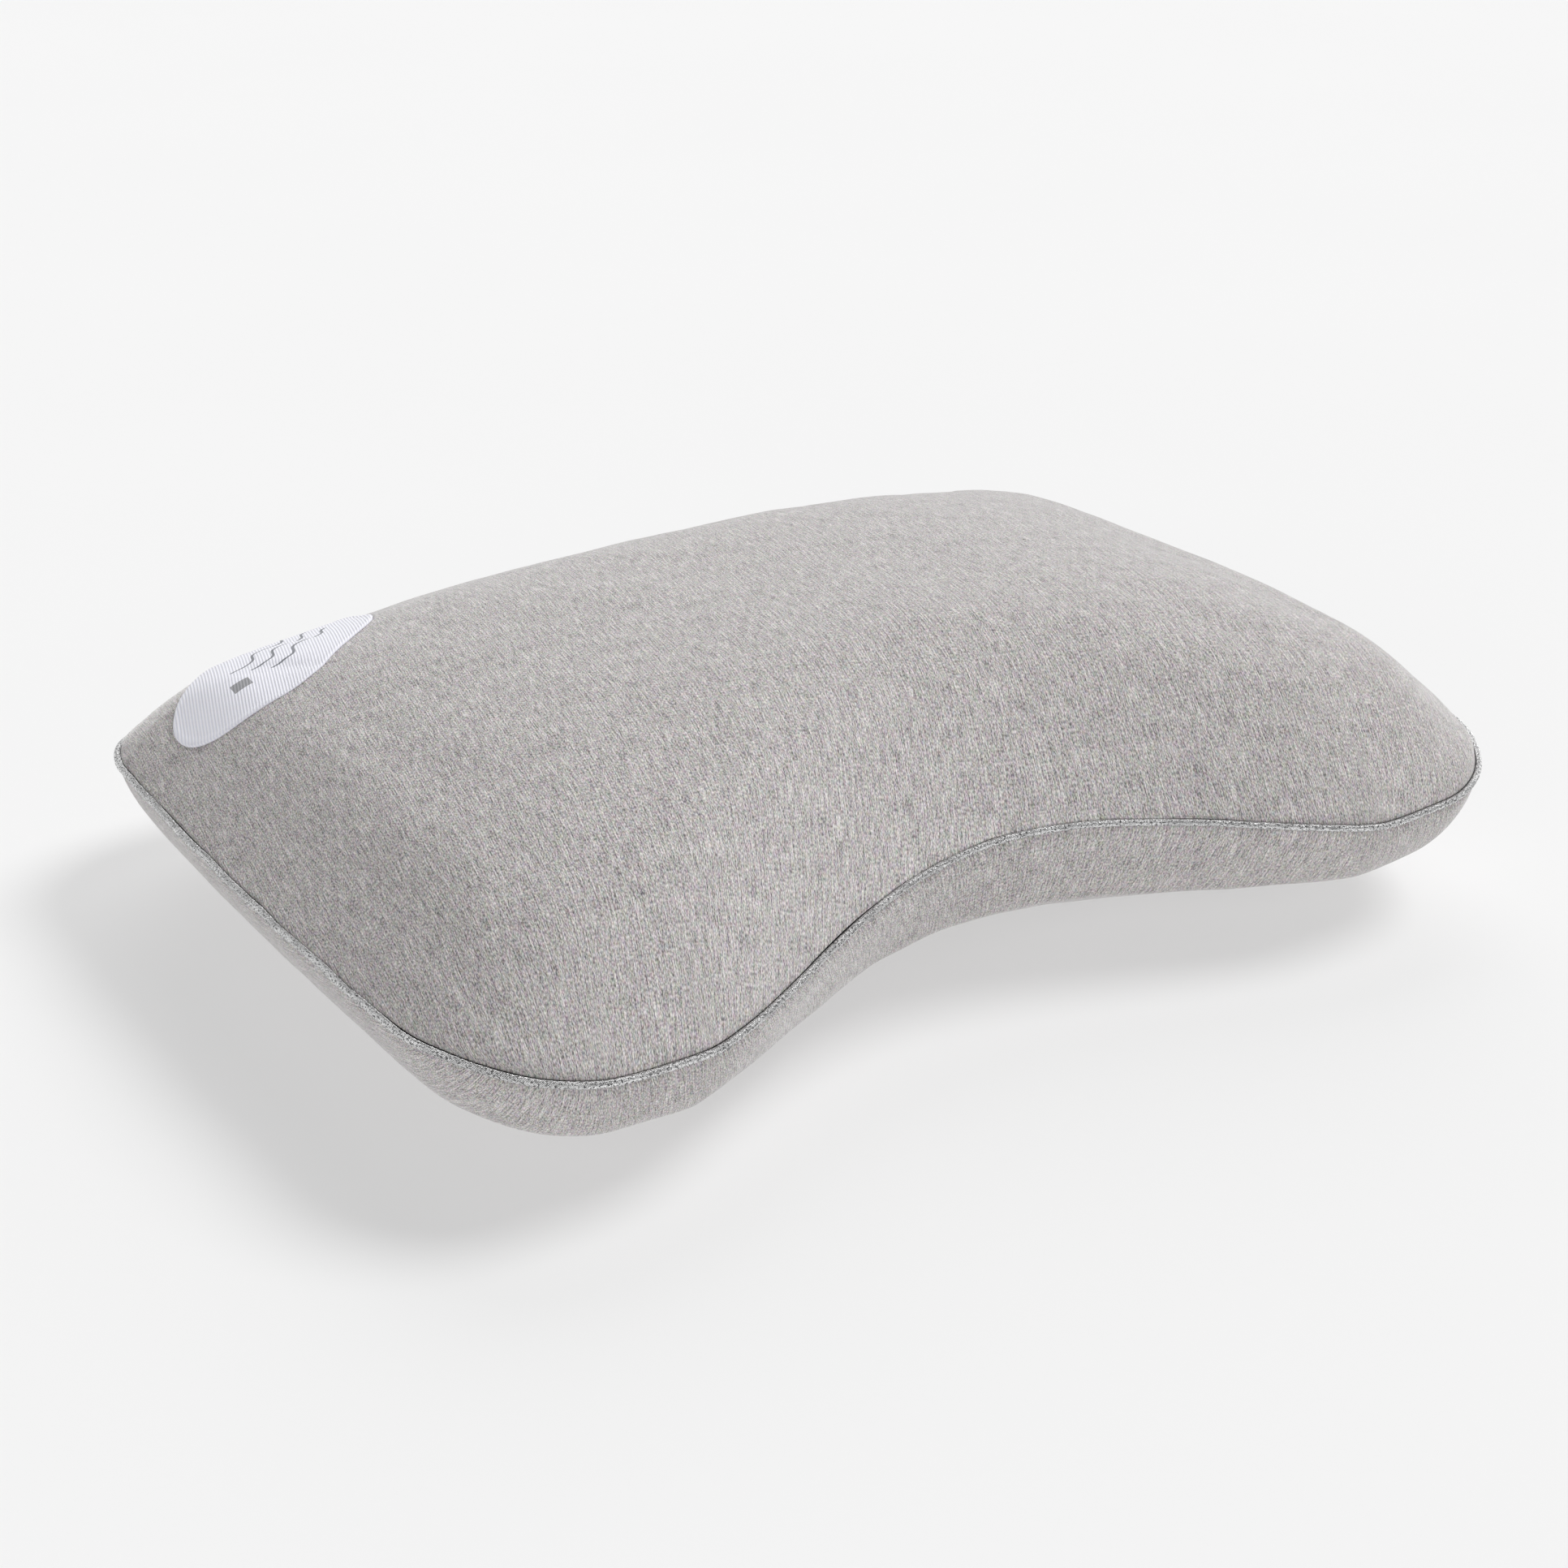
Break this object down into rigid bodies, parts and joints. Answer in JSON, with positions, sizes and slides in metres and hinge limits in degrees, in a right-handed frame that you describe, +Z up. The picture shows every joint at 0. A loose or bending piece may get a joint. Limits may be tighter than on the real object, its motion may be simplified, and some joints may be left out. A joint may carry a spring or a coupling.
{
  "type": "contoured pillow",
  "caption": "Contoured foam pillow in a heathered knit cover with a metallic piping, a shoulder cut-out, a corner badge and a zip in the back edge.",
  "frame": {"origin": "middle of the pillow's footprint, on the surface it lies on", "axes": "+X along the long side, +Y to the straight back edge with the zip, +Z up out of the crowned top panel; the cut-out is in the front edge at -Y"},
  "size_m": [0.6612, 0.4896, 0.1728],
  "materials": {
    "knit": "heathered light grey jersey knit",
    "piping": "silver metallic yarn, glittering",
    "cord": "white filler cord",
    "badge": "white ribbed woven badge",
    "badge_trim": "dark grey felt backing",
    "zip_tape": "grey woven tape",
    "zip_coil": "grey nylon coil",
    "zip_metal": "grey die-cast metal",
    "label": "white satin tape",
    "liner": "white stockinette",
    "foam": "off-white moulded foam"
  },
  "bodies": {
    "cover": {"cover_top_panel": "knit", "cover_bottom_panel": "knit", "piping_sleeve": "piping", "piping_cord": "cord", "corner_badge": "badge", "badge_trim": "badge_trim", "zip_tape_upper": "zip_tape", "zip_tape_lower": "zip_tape", "zip_coil_upper": "zip_coil", "zip_coil_lower": "zip_coil", "zip_top_stop_upper": "zip_metal", "zip_top_stop_lower": "zip_metal", "zip_bottom_stop": "zip_metal", "zip_end_tab_left": "zip_tape", "zip_end_tab_right": "zip_tape", "care_label": "label", "liner_upper": "liner", "liner_lower": "liner", "foam_core": "foam"},
    "slider": {"zip_slider": "zip_metal"},
    "pull": {"zip_pull": "zip_metal"}
  },
  "joints": [
    {"name": "zip_slide", "type": "slide", "parent": "cover", "child": "slider", "axis": [-1, 0, 0], "range_m": [0, 0.366]},
    {"name": "pull_swing", "type": "hinge", "parent": "slider", "child": "pull", "pos_m": [0.1832, 0.23984, 0.05487], "axis": [0, -0.3176, -0.9482], "range_deg": [0, 180]}
  ]
}
